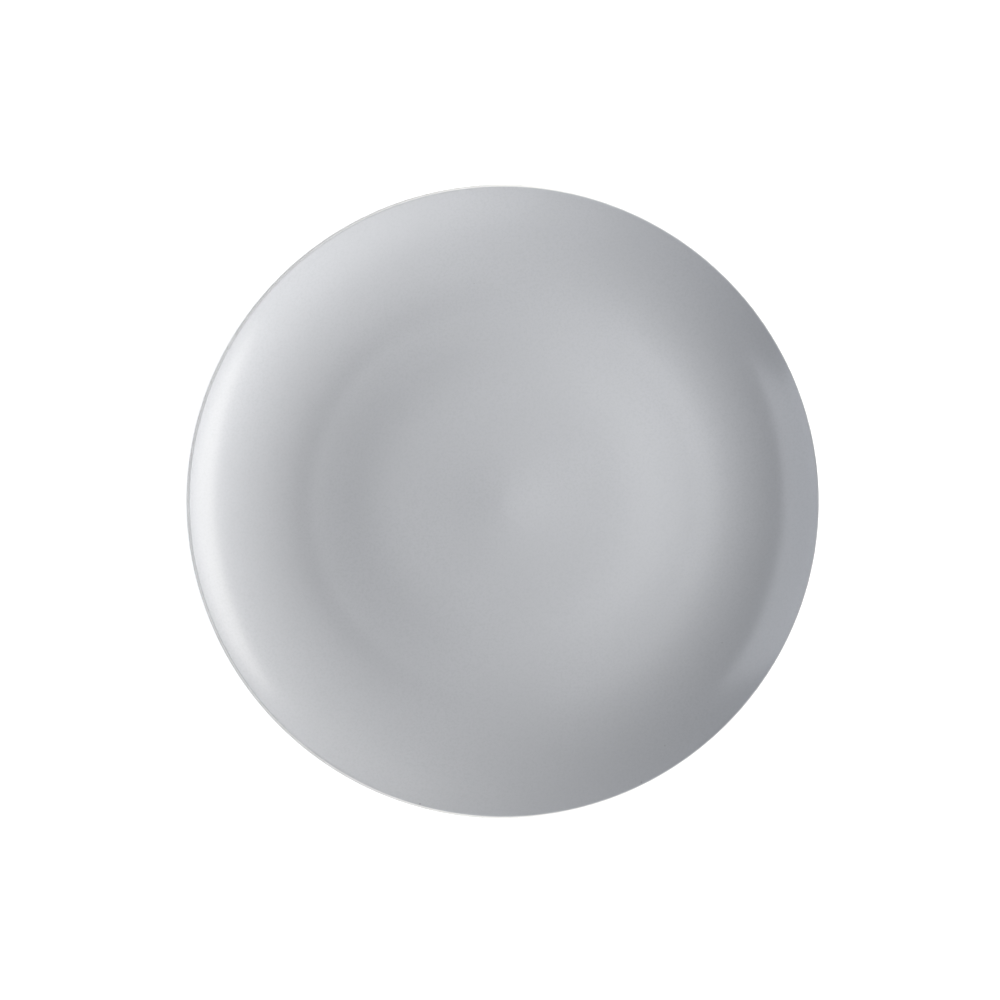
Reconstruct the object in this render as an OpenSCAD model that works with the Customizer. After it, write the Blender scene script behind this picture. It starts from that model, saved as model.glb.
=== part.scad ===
// Coupe dinner plate: a dished clay body on a low foot ring, under a glaze that leaves only
// the bearing edge of the foot bare. Millimetres, +Z up, with the origin on the table at the
// centre of the foot ring. Sizes are taken over the glaze, apart from the bare foot's own.

/* [Plate] */
// Diameter over the lip
plate_d = 270; // [240:1:300]
// Height of the top of the lip above the table
plate_h = 27; // [23:0.5:34]
// Radius of the lip's round
lip_r = 1; // [0.8:0.1:2]
// Diameter of the floor, out to where the wall starts to rise
floor_d = 178; // [150:1:190]
// Thickness of the floor over the foot ring
floor_t = 4.8; // [3.6:0.1:6.5]

/* [Floor] */
// Width of the level ring of floor at the foot of the wall
ring_w = 7; // [4:0.5:12]
// Diameter of the raised middle, at the top of the slope that leads up to it
middle_d = 92; // [70:1:110]
// Height of the middle above the ring
middle_h = 1.4; // [0.4:0.1:1.8]
// Width of the level band at the edge of the middle
band_w = 3; // [2:0.5:6]
// Rise of the hollow sweep from the band to the foot of the cone
sweep_h = 0.3; // [0.1:0.05:0.6]
// Diameter of the low cone at the centre
cone_d = 41; // [20:1:50]
// Height of the cone
cone_h = 0.95; // [0.2:0.05:1.5]

/* [Foot ring] */
// Distance from the edge of the floor in to the middle of the bearing face
foot_in = 8; // [5:0.5:16]
// Width of the flat bearing face
foot_w = 2.6; // [1.6:0.1:5]
// Height of the underside above the table, beside the foot ring
foot_h = 2.6; // [2:0.1:5]
// Lean of the two sides from upright, in degrees
foot_lean = 18; // [5:1:30]
// Radius of the bearing face's two edges
toe_r = 0.8; // [0.4:0.1:1.2]
// Radius of the hollows where the sides meet the underside
root_r = 1.6; // [0.8:0.1:2.2]
// Rise of the arched base from the foot ring to the centre
base_rise = 2; // [0.5:0.1:3]

/* [Glaze] */
// Thickness of the glaze
glaze_t = 0.3; // [0.2:0.05:0.6]
// Height of the wiped edge of the glaze above the table
bare_h = 1; // [0.8:0.1:1.6]

/* [Hidden] */
// Flat steps round the plate where it is drawn in facets
$fn = 240;
// Widest gap between an arc of the section and its chords
chord_gap = 0.01;

// Heights of the floor's upper face: at the ring, at the band and at the tip of the cone
floor_z = foot_h + floor_t;
middle_z = floor_z + middle_h;
tip_z = middle_z + sweep_h + cone_h;

// The slope from the middle down to the ring is two arcs of one radius, level at both ends
ring_r = floor_d / 2 - ring_w;
slope_run = ring_r - middle_d / 2;
slope_r = (slope_run ^ 2 + middle_h ^ 2) / (4 * middle_h);
slope_turn = asin(slope_run / (2 * slope_r));

// The sweep is one arc, level where it leaves the band
band_r = middle_d / 2 - band_w;
sweep_run = band_r - cone_d / 2;
sweep_r = (sweep_run ^ 2 + sweep_h ^ 2) / (2 * sweep_h);
sweep_turn = asin(sweep_run / sweep_r);

// Centre of the lip's round, in the section's radius and height
lip_c = [plate_d / 2 - lip_r, plate_h - lip_r];

// The face of the wall is one arc: level where it leaves the floor, and smooth into the lip
face_run = lip_c - [floor_d / 2, floor_z];
face_r = (face_run * face_run - lip_r ^ 2) / (2 * (face_run.y + lip_r));
face_c = [floor_d / 2, floor_z + face_r];
face_turn = asin(face_run.x / (face_r + lip_r));

// Each side of the foot ring runs from the round of its toe to the hollow at its root. These
// are the steps from the toe's centre to the root's centre, and the places that they lead to
// from foot_m, the radius at the middle of the bearing face.
root_rise = foot_h - root_r - toe_r;
root_out = (toe_r + glaze_t + root_r + root_rise * sin(foot_lean)) / cos(foot_lean);
foot_m = floor_d / 2 - foot_in;
outer_toe = [foot_m + foot_w / 2, toe_r];
inner_toe = [foot_m - foot_w / 2, toe_r];
outer_root = outer_toe + [root_out, root_rise];
inner_root = inner_toe + [-root_out, root_rise];

// The back of the wall is one arc too: level where it leaves the root of the foot ring
back_run = lip_c - [outer_root.x, foot_h];
back_r = (back_run * back_run - lip_r ^ 2) / (2 * (back_run.y - lip_r));
back_c = [outer_root.x, foot_h + back_r];
back_turn = asin(back_run.x / (back_r - lip_r));

// The base is one arc, level on the axis and smooth into the inner root
base_r = (inner_root.x ^ 2 + base_rise ^ 2 + 2 * root_r * base_rise) / (2 * base_rise);
base_c = [0, foot_h + base_rise - base_r];
base_turn = asin(inner_root.x / (base_r - root_r));

// Points along an arc between two angles, close enough that no chord leaves it by chord_gap
function arc(centre, radius, from, to) =
    let (steps = ceil(abs(to - from) / (2 * acos(1 - chord_gap / radius))))
    [for (i = [0:steps])
        let (angle = from + (to - from) * i / steps)
        centre + radius * [cos(angle), sin(angle)]];

// Half section of the plate, on a surface that lies at a given depth under the glaze's outside.
// It runs from the tip of the cone over the lip, down the back and round the foot ring.
function section(depth) =
    let (toe = toe_r + glaze_t - depth, root = root_r + depth)
    concat(
        [[0, tip_z - depth]],
        arc([band_r, middle_z + sweep_r], sweep_r + depth, -90 - sweep_turn, -90),
        arc([middle_d / 2, middle_z - slope_r], slope_r - depth, 90, 90 - slope_turn),
        arc([ring_r, floor_z + slope_r], slope_r + depth, -90 - slope_turn, -90),
        arc(face_c, face_r + depth, -90, face_turn - 90),
        arc(lip_c, lip_r - depth, 90 + face_turn, back_turn - 90),
        arc(back_c, back_r - depth, back_turn - 90, -90),
        arc(outer_root, root, 90, 180 - foot_lean),
        arc(outer_toe, toe, -foot_lean, -90),
        arc(inner_toe, toe, -90, foot_lean - 180),
        arc(inner_root, root, foot_lean, 90 - base_turn),
        arc(base_c, base_r + depth, 90 - base_turn, 90)
    );

// Half section of all the glaze, down to where it is wiped off the foot ring
module glaze_section() {
    difference() {
        polygon(section(0));
        polygon(section(glaze_t));
        translate([0, bare_h - foot_h]) square([plate_d / 2, foot_h]);
    }
}

// Half section of the space inside the foot ring, up to just under the glaze of the floor
module base_space() {
    square([foot_m, floor_z - 2 * glaze_t]);
}

// Fired clay: floor, wall, lip and foot ring in one piece
module clay_body() {
    color("linen") rotate_extrude() polygon(section(glaze_t));
}

// Glaze from the outside of the foot ring, up the back, over the lip and across the face
module glaze_coat() {
    color("lightgray") rotate_extrude() difference() {
        glaze_section();
        base_space();
    }
}

// Glaze on the base, inside the foot ring
module base_glaze() {
    color("gainsboro") rotate_extrude() intersection() {
        glaze_section();
        base_space();
    }
}

clay_body();
glaze_coat();
base_glaze();
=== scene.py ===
"""Coupe dinner plate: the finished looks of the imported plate, in a plain studio, from above."""

import math

import bpy
import numpy as np
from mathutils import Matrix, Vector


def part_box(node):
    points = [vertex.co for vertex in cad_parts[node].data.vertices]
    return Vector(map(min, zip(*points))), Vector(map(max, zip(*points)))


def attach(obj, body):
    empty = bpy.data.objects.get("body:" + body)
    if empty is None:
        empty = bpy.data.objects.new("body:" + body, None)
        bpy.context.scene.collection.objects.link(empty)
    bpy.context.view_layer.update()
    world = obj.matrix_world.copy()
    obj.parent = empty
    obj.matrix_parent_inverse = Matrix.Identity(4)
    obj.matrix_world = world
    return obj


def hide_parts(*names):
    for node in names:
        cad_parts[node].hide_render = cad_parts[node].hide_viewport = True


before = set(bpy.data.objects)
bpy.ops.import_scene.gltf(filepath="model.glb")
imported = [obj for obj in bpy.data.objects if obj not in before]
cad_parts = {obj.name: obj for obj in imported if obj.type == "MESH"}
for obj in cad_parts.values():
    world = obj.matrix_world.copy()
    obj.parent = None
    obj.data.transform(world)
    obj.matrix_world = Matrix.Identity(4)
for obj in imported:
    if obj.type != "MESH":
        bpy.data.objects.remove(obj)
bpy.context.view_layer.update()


# Clay body. The plate is one disc of pale stoneware, pressed with its wall, lip and foot ring,
# turned smooth and fired. Glaze covers all of it but the bearing edge of the foot ring, which was
# wiped clean and shows bare clay.
plate_r, _, plate_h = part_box("glaze_coat")[1]
turns = 240
quarter = math.pi / 2
glaze_t = 0.0003
floor_r, floor_z = 0.089, 0.0074
ring_r, middle_r, middle_h = 0.082, 0.046, 0.0014
level_r, swell_h = 0.043, 0.0003
cone_r, cone_h = 0.0205, 0.00095
ridge_in, ridge_r, ridge_out, ridge_h = 0.0775, 0.0825, 0.089, 0.00006
base_rise = 0.002
lip_r, lip_start = 0.001, math.radians(2)
lip_c = np.array([plate_r - lip_r, plate_h - lip_r])
foot_m, foot_w, foot_h, foot_lean = 0.081, 0.0026, 0.0026, math.radians(18)
toe_r, root_r = 0.0008, 0.0016
root_rise = foot_h - root_r - toe_r
root_out = (toe_r + glaze_t + root_r + root_rise * math.sin(foot_lean)) / math.cos(foot_lean)
outer_toe = np.array([foot_m + foot_w / 2, toe_r])
inner_toe = np.array([foot_m - foot_w / 2, toe_r])
outer_root = outer_toe + [root_out, root_rise]
inner_root = inner_toe + [-root_out, root_rise]
cone_steps, swell_steps, slope_steps, ridge_steps = 12, 10, 14, 28
wall_steps, lip_start_steps, lip_steps, back_steps = 40, 2, 38, 24
foot_steps, base_steps = 8, 16
clay_colour = (0.60, 0.55, 0.48, 1)
clay_warm = (0.52, 0.45, 0.37, 1)
clay_worn = (0.42, 0.40, 0.37, 1)
speck_colour = (0.16, 0.13, 0.11, 1)
speck_chance = 0.7
clay_cloud_scale, clay_speck_scale, clay_speck_size = 60, 900, 0.32
warm_low, warm_high, warm_share = 0.35, 0.7, 0.8
worn_low, worn_high, worn_share = 0.00002, 0.0003, 0.6
bare_rough, worn_rough = 0.88, 0.62
clay_grain_scale, clay_grain_depth = 3500, 0.00006


def arc(centre, radius, start, stop, steps):
    """Part of a circle of the section: the centre plus the radius times (cos, sin) of evenly
    spaced angles."""
    angle = np.linspace(start, stop, steps + 1)
    return np.asarray(centre) + radius * np.stack([np.cos(angle), np.sin(angle)], axis=1)


def wall_circle(start, round_r):
    """Centre, radius and turn of the circle that is level at start and smooth into the lip: its
    centre is straight above start, and it is its radius plus the lip's from the lip's centre. For
    the back of the wall, which holds the lip's round inside it, the round's radius is given as
    negative."""
    run, rise = lip_c - start
    radius = (run ** 2 + rise ** 2 - round_r ** 2) / (2 * (rise + round_r))
    return start + [0, radius], radius, math.asin(run / (radius + round_r))


def upper_section(depth):
    """Half section from the axis across the floor, up the wall, over the lip and down the back to
    the side of the foot ring, at a depth under the glaze's outside: each arc keeps its centre and
    its radius takes up the depth. Over the foot ring the floor has a faint ridge, which rises and
    falls as three squares less two cubes of its share. The lip's first degrees have fine steps, so
    that the wall keeps its true slope up to it."""
    middle_z = floor_z + middle_h
    swell_run = level_r - cone_r
    swell_r = (swell_run ** 2 + swell_h ** 2) / (2 * swell_h)
    swell_turn = math.asin(swell_run / swell_r)
    swell = arc([level_r, middle_z + swell_r], swell_r + depth,
                -quarter - swell_turn, -quarter, swell_steps)
    slope_run = ring_r - middle_r
    slope_r = (slope_run ** 2 + middle_h ** 2) / (4 * middle_h)
    slope_turn = math.asin(slope_run / (2 * slope_r))
    tip = [0, middle_z + swell_h + cone_h - depth]
    inner = np.concatenate([
        np.linspace(tip, swell[0], cone_steps, endpoint=False),
        swell,
        arc([middle_r, middle_z - slope_r], slope_r - depth,
            quarter, quarter - slope_turn, slope_steps),
        arc([ring_r, floor_z + slope_r], slope_r + depth,
            -quarter - slope_turn, -quarter, slope_steps)[1:],
    ])
    over_foot = np.linspace(ridge_in, floor_r, ridge_steps, endpoint=False)
    share = np.interp(over_foot, [ridge_in, ridge_r, ridge_out], [0, 1, 0])
    height = np.interp(over_foot, *inner.T) + ridge_h * share ** 2 * (3 - 2 * share)
    face_c, face_r, face_turn = wall_circle(np.array([floor_r, floor_z]), lip_r)
    back_c, back_r, back_turn = wall_circle(np.array([outer_root[0], foot_h]), -lip_r)
    lip_from, lip_to = quarter + face_turn, back_turn - quarter
    return np.concatenate([
        inner[inner[:, 0] < ridge_in],
        np.stack([over_foot, height], axis=1),
        arc(face_c, face_r + depth, -quarter, face_turn - quarter, wall_steps),
        arc(lip_c, lip_r - depth, lip_from, lip_from - lip_start, lip_start_steps)[1:],
        arc(lip_c, lip_r - depth, lip_from - lip_start, lip_to, lip_steps)[1:],
        arc(back_c, back_r - depth, back_turn - quarter, -quarter, back_steps)[1:],
        arc(outer_root, root_r + depth, quarter, math.pi - foot_lean, foot_steps)[1:],
    ])


def lower_section(depth):
    """Half section from the inner side of the foot ring up its root and across the arched base to
    the axis, at a depth under the glaze's outside. The arch is level on the axis and holds the
    root's hollow inside its circle."""
    base_r = (inner_root[0] ** 2 + base_rise ** 2 + 2 * root_r * base_rise) / (2 * base_rise)
    base_turn = math.asin(inner_root[0] / (base_r - root_r))
    return np.concatenate([
        arc(inner_root, root_r + depth, foot_lean, quarter - base_turn, foot_steps),
        arc([0, foot_h + base_rise - base_r], base_r + depth,
            quarter - base_turn, quarter, base_steps)[1:],
    ])


def all_round(section):
    """A section that is the same at every turn, (points, 2), repeated to (points, turns, 2)."""
    return np.repeat(section[:, None], turns, axis=1)


def turned(name, section):
    """Solid of revolution: point i of the section at turn j lies at its radius times (cos, sin) of
    the turn's angle, and at its own height. The section is (points, turns, 2), because it may
    change round the plate. It starts and ends on the axis, where a fan of triangles closes it."""
    angle = np.linspace(0, 2 * math.pi, turns, endpoint=False)
    radius, height = section[..., 0], section[..., 1]
    points = np.stack([radius * np.cos(angle), radius * np.sin(angle), height], axis=-1)
    places = np.concatenate([points[0, :1], points[1:-1].reshape(-1, 3), points[-1, :1]])
    here = 1 + np.arange((len(section) - 2) * turns).reshape(-1, turns)
    there = np.roll(here, -1, axis=1)
    last = np.full(turns, len(places) - 1)
    first_fan = np.stack([0 * last, here[0], there[0]], axis=-1)
    last_fan = np.stack([here[-1], last, there[-1]], axis=-1)
    quads = np.stack([here[:-1], here[1:], there[1:], there[:-1]], axis=-1).reshape(-1, 4)
    corners = np.concatenate([quads.ravel(), first_fan.ravel(), last_fan.ravel()])
    starts = np.concatenate([np.arange(len(quads)) * 4, quads.size + np.arange(2 * turns) * 3])
    mesh = bpy.data.meshes.new(name)
    mesh.vertices.add(len(places))
    mesh.vertices.foreach_set("co", places.astype(np.float32).ravel())
    mesh.loops.add(len(corners))
    mesh.loops.foreach_set("vertex_index", corners.astype(np.int32))
    mesh.polygons.add(len(starts))
    mesh.polygons.foreach_set("loop_start", starts.astype(np.int32))
    mesh.polygons.foreach_set("use_smooth", np.ones(len(starts), bool))
    mesh.update(calc_edges=True)
    piece = bpy.data.objects.new(name, mesh)
    bpy.context.scene.collection.objects.link(piece)
    return piece


def fired_mottle_group():
    """Fired pottery's uneven tone, from the place on the piece: Cloud is slow noise, and Specks are
    small spots round the centres of random cells, of which only the few whose random value is high
    get one, of a size to match."""
    group = bpy.data.node_groups.new("fired_mottle", "ShaderNodeTree")
    for label in ("Cloud Scale", "Speck Scale", "Speck Size"):
        group.interface.new_socket(name=label, in_out="INPUT", socket_type="NodeSocketFloat")
    for label in ("Cloud", "Specks"):
        group.interface.new_socket(name=label, in_out="OUTPUT", socket_type="NodeSocketFloat")
    node, link = group.nodes.new, group.links.new
    values, results = node("NodeGroupInput"), node("NodeGroupOutput")
    place = node("ShaderNodeTexCoord")
    cloud = node("ShaderNodeTexNoise")
    cloud.inputs["Detail"].default_value = 3
    link(place.outputs["Object"], cloud.inputs["Vector"])
    link(values.outputs["Cloud Scale"], cloud.inputs["Scale"])
    link(cloud.outputs["Fac"], results.inputs["Cloud"])
    cells = node("ShaderNodeTexVoronoi")
    link(place.outputs["Object"], cells.inputs["Vector"])
    link(values.outputs["Speck Scale"], cells.inputs["Scale"])
    chance = node("ShaderNodeSeparateColor")
    link(cells.outputs["Color"], chance.inputs["Color"])
    size = node("ShaderNodeMapRange")
    size.inputs["From Min"].default_value = speck_chance
    link(chance.outputs["Red"], size.inputs["Value"])
    link(values.outputs["Speck Size"], size.inputs["To Max"])
    spot = node("ShaderNodeMapRange")
    spot.interpolation_type = "SMOOTHSTEP"
    spot.inputs["From Max"].default_value = 0
    spot.inputs["To Max"].default_value = 1
    link(cells.outputs["Distance"], spot.inputs["Value"])
    link(size.outputs["Result"], spot.inputs["From Min"])
    link(spot.outputs["Result"], results.inputs["Specks"])
    return group


def mottle(tree, cloud_scale, speck_scale, speck_size):
    """Places the mottle in a material with its own scales, in cells a metre, and speck size, as a
    share of a cell."""
    placed = tree.nodes.new("ShaderNodeGroup")
    placed.node_tree = fired_mottle
    placed.inputs["Cloud Scale"].default_value = cloud_scale
    placed.inputs["Speck Scale"].default_value = speck_scale
    placed.inputs["Speck Size"].default_value = speck_size
    return placed.outputs["Cloud"], placed.outputs["Specks"]


def plain_material(name):
    """A new material, its nodes and its shader."""
    material = bpy.data.materials.new(name)
    material.use_nodes = True
    return material, material.node_tree, material.node_tree.nodes["Principled BSDF"]


def ranged(tree, value, low, high, at_low, at_high):
    """A value carried smoothly from one range to another, and held at its ends."""
    step = tree.nodes.new("ShaderNodeMapRange")
    step.interpolation_type = "SMOOTHSTEP"
    step.inputs["From Min"].default_value = low
    step.inputs["From Max"].default_value = high
    step.inputs["To Min"].default_value = at_low
    step.inputs["To Max"].default_value = at_high
    tree.links.new(value, step.inputs["Value"])
    return step.outputs["Result"]


def tinted(tree, share, colour, tint):
    """A colour, plain or from a node, mixed with a tint by a share."""
    mix = tree.nodes.new("ShaderNodeMix")
    mix.data_type = "RGBA"
    tree.links.new(share, mix.inputs["Factor"])
    if isinstance(colour, tuple):
        mix.inputs["A"].default_value = colour
    else:
        tree.links.new(colour, mix.inputs["A"])
    mix.inputs["B"].default_value = tint
    return mix.outputs["Result"]


def noise(tree, place, scale, detail):
    """Noise from the place on the piece, at a scale in waves a metre."""
    waves = tree.nodes.new("ShaderNodeTexNoise")
    waves.inputs["Scale"].default_value = scale
    waves.inputs["Detail"].default_value = detail
    tree.links.new(place, waves.inputs["Vector"])
    return waves.outputs["Fac"]


def roughened(tree, shader, height, depth):
    """Tilts a shader's normal by a height of a given depth in metres, at half strength."""
    bump = tree.nodes.new("ShaderNodeBump")
    bump.inputs["Strength"].default_value = 0.5
    bump.inputs["Distance"].default_value = depth
    tree.links.new(height, bump.inputs["Height"])
    tree.links.new(bump.outputs["Normal"], shader.inputs["Normal"])


def clay_material():
    """Bare stoneware: warm off-white, clouded and specked, grainy, and worn smooth and grey on the
    bearing face."""
    material, tree, shader = plain_material("bare_stoneware")
    cloud, specks = mottle(tree, clay_cloud_scale, clay_speck_scale, clay_speck_size)
    place = tree.nodes.new("ShaderNodeTexCoord").outputs["Object"]
    height = tree.nodes.new("ShaderNodeSeparateXYZ")
    tree.links.new(place, height.inputs["Vector"])
    worn = ranged(tree, height.outputs["Z"], worn_low, worn_high, worn_share, 0)
    warmth = ranged(tree, cloud, warm_low, warm_high, 0, warm_share)
    colour = tinted(tree, warmth, clay_colour, clay_warm)
    colour = tinted(tree, worn, colour, clay_worn)
    colour = tinted(tree, specks, colour, speck_colour)
    tree.links.new(colour, shader.inputs["Base Color"])
    rough = ranged(tree, worn, 0, worn_share, bare_rough, worn_rough)
    tree.links.new(rough, shader.inputs["Roughness"])
    roughened(tree, shader, noise(tree, place, clay_grain_scale, 4), clay_grain_depth)
    return material


fired_mottle = fired_mottle_group()
clay_body = turned("clay_body_fired", all_round(np.concatenate([
    upper_section(glaze_t),
    arc(outer_toe, toe_r, -foot_lean, -quarter, foot_steps),
    arc(inner_toe, toe_r, -quarter, foot_lean - math.pi, foot_steps),
    lower_section(glaze_t),
])))
clay_body.data.materials.append(clay_material())
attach(clay_body, "root")
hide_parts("clay_body")


# Glaze coat. A pale grey glaze, melted on in firing to a skin a third of a millimetre thick. It
# runs in one piece over the face, round the lip and down the back, and ends in a rounded edge where
# it was sponged off the foot ring.
bare_h, wipe_wave, wipe_steps = 0.00102, 0.00008, 8
outer_phase = 0.4
glaze_colour = (0.467, 0.476, 0.496, 1)
glaze_cloud = (0.457, 0.466, 0.485, 1)
glaze_grain = (0.442, 0.451, 0.470, 1)
# Near-white for the lip's outer edge: partly the glaze thinning over it, partly painted light
# standing in for the bright edge the lip catches.
lip_pale_and_lit = (0.90, 0.895, 0.88, 1)
glaze_speck = (0.25, 0.245, 0.24, 1)
glaze_ior = 1.6
glaze_cloud_scale, glaze_speck_scale, glaze_speck_size = 22, 85, 0.06
cloud_low, cloud_high = 0.3, 0.7
clear_rough, cloudy_rough = 0.2, 0.22
glaze_grain_scale, grain_low, grain_high = 1100, 0.4, 0.7
lip_lit_in, lip_lit_out = 0.1337, 0.1342
peel_scale, turning_scale, turning_share, skin_depth = 380, 420, 0.5, 0.00002


def wiped_edge(toe, side, phase):
    """The glaze's rounded edge on the outer (side 1) or inner (-1) side of the foot ring: half a
    circle of the glaze's thickness, from its outside to the clay, whose height wanders by three
    slow sines round the ring, of 4, 9 and 17 waves."""
    angle = np.linspace(0, 2 * math.pi, turns, endpoint=False)
    wander = (np.sin(4 * angle + phase) + 0.6 * np.sin(9 * angle + 2 * phase)
              + 0.4 * np.sin(17 * angle + 3 * phase))
    out = np.array([side * math.cos(foot_lean), -math.sin(foot_lean)])
    down = np.array([-side * math.sin(foot_lean), -math.cos(foot_lean)])
    low = toe + toe_r * out
    climb = (bare_h + wipe_wave * wander / 2 - low[1]) / math.cos(foot_lean)
    middle = low - climb[:, None] * down + out * glaze_t / 2
    turn = np.linspace(0, math.pi, wipe_steps + 1)[:, None]
    return middle + glaze_t / 2 * (np.cos(turn) * out + np.sin(turn) * down)[:, None]


def length(tree, vector):
    """The length of a vector."""
    step = tree.nodes.new("ShaderNodeVectorMath")
    step.operation = "LENGTH"
    tree.links.new(vector, step.inputs[0])
    return step.outputs["Value"]


def glaze_material():
    """Smooth pale grey glaze: faint clouds in tone and gloss, a fine grain, a few tiny specks, a
    near-white line round the lip's outer edge, which is partly the glaze thinning there and partly
    painted light standing in for the bright edge the lip catches, a soft orange-peel skin and the
    faint rings that turning left in the clay under it."""
    material, tree, shader = plain_material("pale_grey_glaze")
    shader.inputs["IOR"].default_value = glaze_ior
    cloud, specks = mottle(tree, glaze_cloud_scale, glaze_speck_scale, glaze_speck_size)
    place = tree.nodes.new("ShaderNodeTexCoord").outputs["Object"]
    level = tree.nodes.new("ShaderNodeVectorMath")
    level.operation = "MULTIPLY"
    level.inputs[1].default_value = (1, 1, 0)
    tree.links.new(place, level.inputs[0])
    radius = length(tree, level.outputs["Vector"])
    clouded = ranged(tree, cloud, cloud_low, cloud_high, 0, 1)
    grain = ranged(tree, noise(tree, place, glaze_grain_scale, 2), grain_low, grain_high, 0, 1)
    # Painted light, partly real: past this radius the lip's glaze turns near-white, for thin glaze
    # and for the bright edge the lip catches.
    lip_thin_and_lit = ranged(tree, radius, lip_lit_in, lip_lit_out, 0, 1)
    colour = tinted(tree, clouded, glaze_colour, glaze_cloud)
    colour = tinted(tree, grain, colour, glaze_grain)
    colour = tinted(tree, lip_thin_and_lit, colour, lip_pale_and_lit)
    colour = tinted(tree, specks, colour, glaze_speck)
    tree.links.new(colour, shader.inputs["Base Color"])
    rough = ranged(tree, cloud, cloud_low, cloud_high, clear_rough, cloudy_rough)
    tree.links.new(rough, shader.inputs["Roughness"])
    turning = tree.nodes.new("ShaderNodeTexNoise")
    turning.noise_dimensions = "1D"
    turning.inputs["Scale"].default_value = turning_scale
    turning.inputs["Detail"].default_value = 2
    tree.links.new(radius, turning.inputs["W"])
    skin = tree.nodes.new("ShaderNodeMath")
    skin.operation = "MULTIPLY_ADD"
    skin.inputs[1].default_value = turning_share
    tree.links.new(turning.outputs["Fac"], skin.inputs[0])
    tree.links.new(noise(tree, place, peel_scale, 1), skin.inputs[2])
    roughened(tree, shader, skin.outputs["Value"], skin_depth)
    return material


pale_glaze = glaze_material()
glaze_coat = turned("glaze_coat_skin", np.concatenate([
    all_round(upper_section(0)),
    wiped_edge(outer_toe, 1, outer_phase),
    all_round(upper_section(glaze_t)[::-1]),
]))
glaze_coat.data.materials.append(pale_glaze)
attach(glaze_coat, "root")
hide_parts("glaze_coat")


# Base glaze. The same glaze on the underside, a separate disc of it inside the foot ring. It covers
# the base, turns down the ring's inner side and ends in its own sponged edge, just short of the
# bearing face.
inner_phase = 2.1
base_glaze = turned("base_glaze_skin", np.concatenate([
    all_round(lower_section(glaze_t)[::-1]),
    wiped_edge(inner_toe, -1, inner_phase)[::-1],
    all_round(lower_section(0)),
]))
base_glaze.data.materials.append(pale_glaze)
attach(base_glaze, "root")
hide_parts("base_glaze")


# Floor. A plain, pale, matt studio table under the plate, far wider than the picture. It glows to
# the camera alone, most of all away from the plate, so that it shows as white and throws no more
# light on the plate's back.
floor_half, floor_drop = 6, 0.00002
floor_colour, floor_rough, floor_shine = (0.76, 0.76, 0.76, 1), 0.9, 0.1
glow_in, glow_out, glow_near, glow_far = 0.3, 1.2, 0.76, 1
floor_square = np.array([[-1, -1, 0], [1, -1, 0], [1, 1, 0], [-1, 1, 0]])
floor_corners = floor_square * floor_half - [0, 0, floor_drop]
floor_mesh = bpy.data.meshes.new("studio_floor")
floor_mesh.from_pydata(floor_corners.tolist(), [], [(0, 1, 2, 3)])
floor = bpy.data.objects.new("studio_floor", floor_mesh)
bpy.context.scene.collection.objects.link(floor)
floor_paint, floor_tree, floor_shader = plain_material("pale_table")
floor_shader.inputs["Base Color"].default_value = floor_colour
floor_shader.inputs["Roughness"].default_value = floor_rough
floor_shader.inputs["Specular IOR Level"].default_value = floor_shine
floor_place = floor_tree.nodes.new("ShaderNodeTexCoord").outputs["Object"]
floor_away = length(floor_tree, floor_place)
floor_glow = ranged(floor_tree, floor_away, glow_in, glow_out, glow_near, glow_far)
floor_sight = floor_tree.nodes.new("ShaderNodeLightPath")
floor_seen = floor_tree.nodes.new("ShaderNodeMath")
floor_seen.operation = "MULTIPLY"
floor_tree.links.new(floor_sight.outputs["Is Camera Ray"], floor_seen.inputs[0])
floor_tree.links.new(floor_glow, floor_seen.inputs[1])
floor_tree.links.new(floor_seen.outputs["Value"], floor_shader.inputs["Emission Color"])
floor_shader.inputs["Emission Strength"].default_value = 1
floor_mesh.materials.append(floor_paint)


# Camera. It looks straight down on the plate's axis, from far enough that the 1000 pixel frame
# holds the plate at the photograph's size. The small shift puts the plate's centre where the
# photograph has it.
frame_px, plate_px, centre_px = 1000, 317.3, (503.8, 501.55)
lens_mm, sensor_mm = 100, 36
view_w = plate_r * frame_px / plate_px
camera_data = bpy.data.cameras.new("overhead_camera")
camera_data.lens, camera_data.sensor_width = lens_mm, sensor_mm
camera_data.shift_x = (frame_px / 2 - centre_px[0]) / frame_px
camera_data.shift_y = (centre_px[1] - frame_px / 2) / frame_px
camera = bpy.data.objects.new("overhead_camera", camera_data)
camera.location = (0, 0, lip_c[1] + view_w * lens_mm / sensor_mm)
bpy.context.scene.collection.objects.link(camera)
bpy.context.scene.camera = camera


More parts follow.
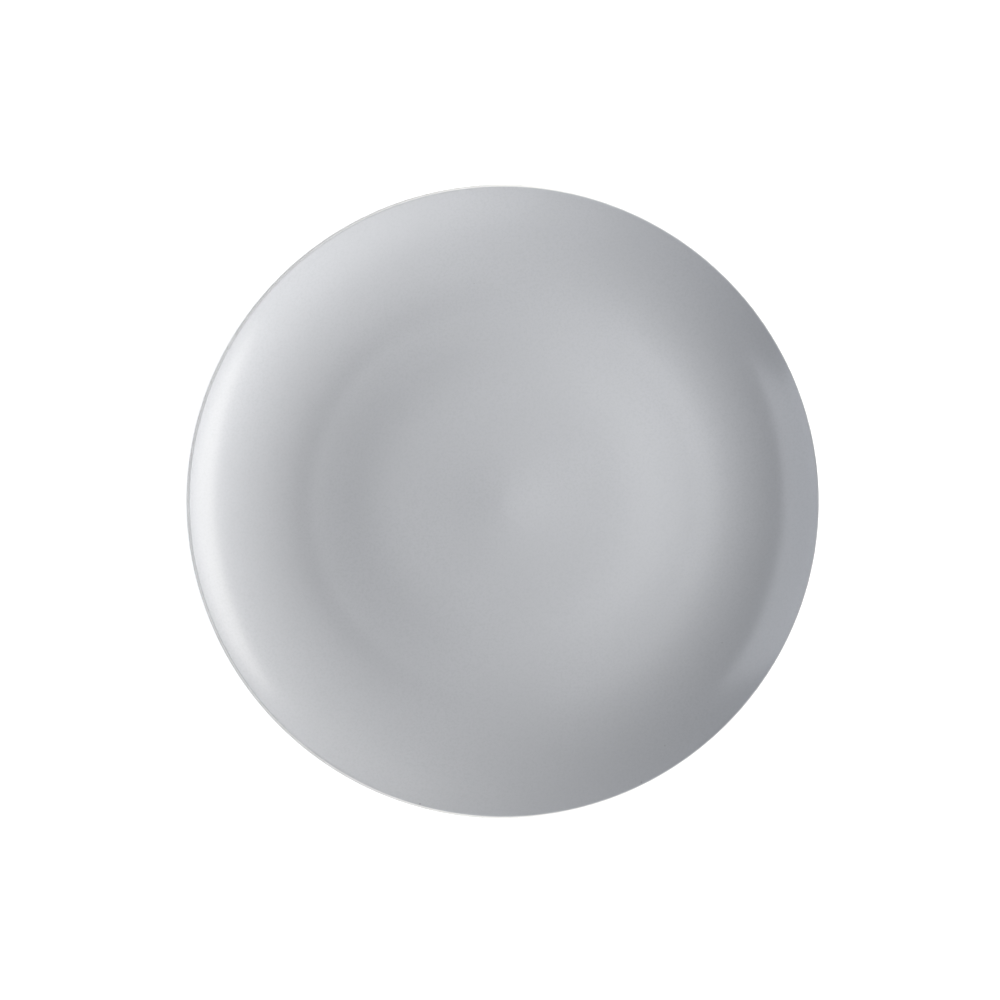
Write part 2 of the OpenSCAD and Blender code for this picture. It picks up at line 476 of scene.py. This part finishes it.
# Lights. A warm oval panel at the right, and a cool panel over a low strip at the left, whose
# reflections lie along the wall. A near strip at the right and a wide wash from the lower right
# fill in, too soft to be reflected, and a weak panel hangs overhead.
aim_h = 0.01
warm, cool, white = (1.03, 1, 0.95), (0.96, 0.99, 1.05), (1, 1, 1)
fill_strength = 0.0084


def softbox(name, shape, direction, distance, size, radiance, colour, reflected):
    """A rectangle or ellipse of light aimed at the plate, from a direction, as azimuth and
    elevation in degrees, and a distance in metres. Its power is its radiance times pi times its
    area. One that isn't reflected lights surfaces without a highlight."""
    width, height = size
    area = width * height * (math.pi / 4 if shape == "ELLIPSE" else 1)
    data = bpy.data.lights.new(name, "AREA")
    data.shape, data.size, data.size_y, data.color = shape, width, height, colour
    data.energy = radiance * math.pi * area
    light = bpy.data.objects.new(name, data)
    turn, tilt = math.radians(direction[0]), math.radians(direction[1])
    light.location = (distance * math.cos(tilt) * math.cos(turn),
                      distance * math.cos(tilt) * math.sin(turn),
                      aim_h + distance * math.sin(tilt))
    light.rotation_euler = (quarter - tilt, 0, turn + quarter)
    light.visible_camera, light.visible_glossy = False, reflected
    bpy.context.scene.collection.objects.link(light)


softbox("right_panel", "ELLIPSE", (2.5, 18.5), 1.25, (1.8, 0.44), 3.04, warm, True)
softbox("left_panel", "RECTANGLE", (174.5, 23), 1.28, (1.41, 0.66), 2.25, cool, True)
softbox("left_strip", "RECTANGLE", (177, 4), 1.2, (1.3, 0.18), 3.3, cool, True)
softbox("right_strip", "RECTANGLE", (23.5, 30.4), 0.398, (1.31, 0.159), 4.59, white, False)
softbox("lower_right_wash", "RECTANGLE", (-36.7, 23.8), 1.92, (6, 1.42), 3.31, white, False)
softbox("overhead_panel", "RECTANGLE", (90, 89.9), 2.2, (2.4, 2.4), 0.037, white, True)
studio = bpy.data.worlds.new("studio_fill")
studio.use_nodes = True
studio.node_tree.nodes["Background"].inputs["Color"].default_value = (1, 1, 1, 1)
studio.node_tree.nodes["Background"].inputs["Strength"].default_value = fill_strength
bpy.context.scene.world = studio
bpy.context.scene.view_settings.view_transform = "Standard"
